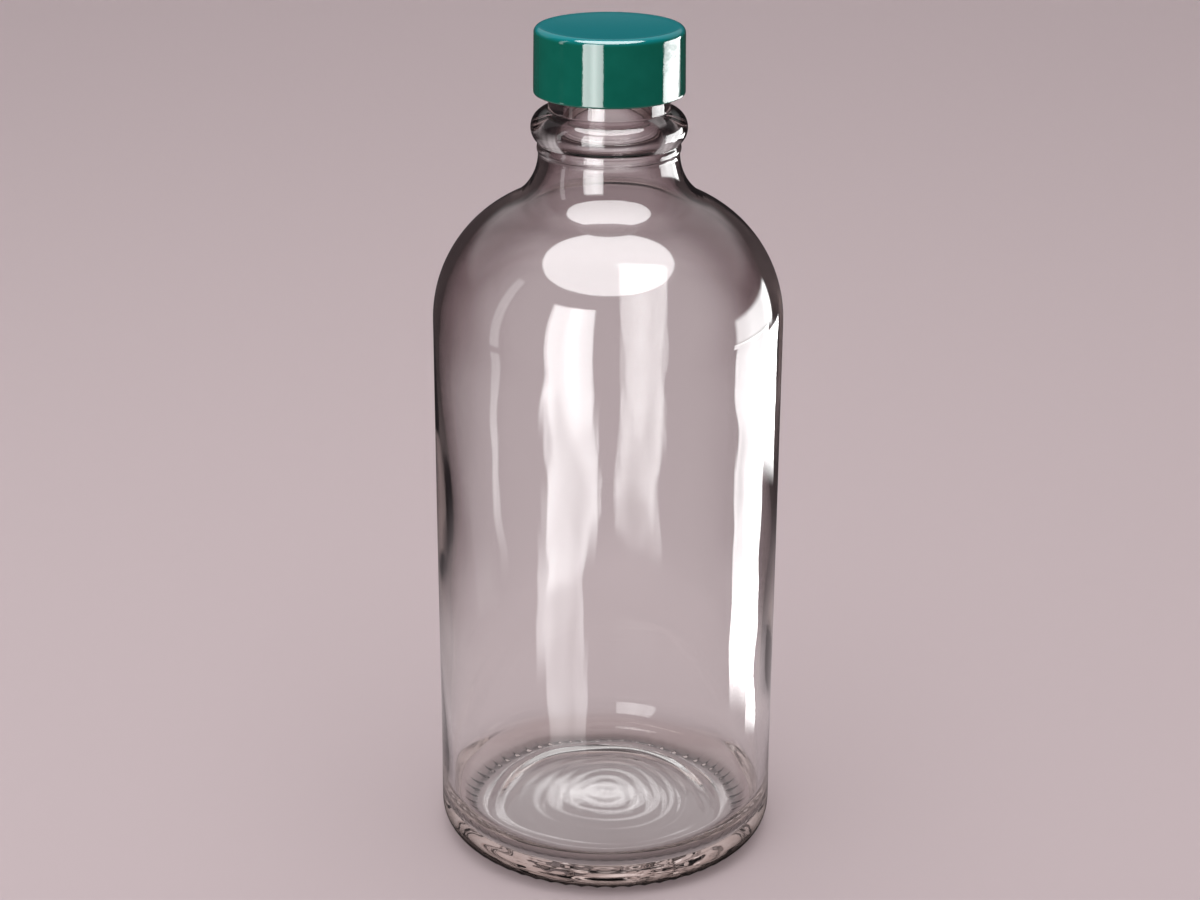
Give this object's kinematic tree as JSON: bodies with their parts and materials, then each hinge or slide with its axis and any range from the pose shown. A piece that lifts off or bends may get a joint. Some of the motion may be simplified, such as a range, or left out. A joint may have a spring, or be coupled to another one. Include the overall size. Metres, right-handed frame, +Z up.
{
  "type": "boston round bottle",
  "caption": "Clear glass round-shouldered lab bottle with a threaded neck, transfer bead and green screw cap with sealing disc.",
  "frame": {"origin": "centre of the bearing ring, on the surface that the bottle stands on", "axes": "+Z up along the bottle's axis, X and Y across it"},
  "size_m": [0.074, 0.074, 0.1813],
  "materials": {
    "clear_glass": "smooth clear flint glass",
    "green_cap": "glossy moulded green plastic",
    "white_liner": "smooth matt white fluoropolymer face"
  },
  "bodies": {
    "bottle": {"bottle": "clear_glass"},
    "cap_lift": {"cap_liner": "white_liner"},
    "cap": {"cap": "green_cap"}
  },
  "joints": [
    {"name": "cap_rise", "type": "slide", "parent": "bottle", "child": "cap_lift", "axis": [0, 0, 1], "range_m": [0, 0.0128]},
    {"name": "cap_turn", "type": "hinge", "parent": "cap_lift", "child": "cap", "pos_m": [0, 0, 0.1745], "axis": [0, 0, 1], "range_deg": [0, 1080]}
  ],
  "couplings": [
    {"joint": "cap_rise", "follows": "cap_turn", "m_per_rad": 0.0006737}
  ]
}
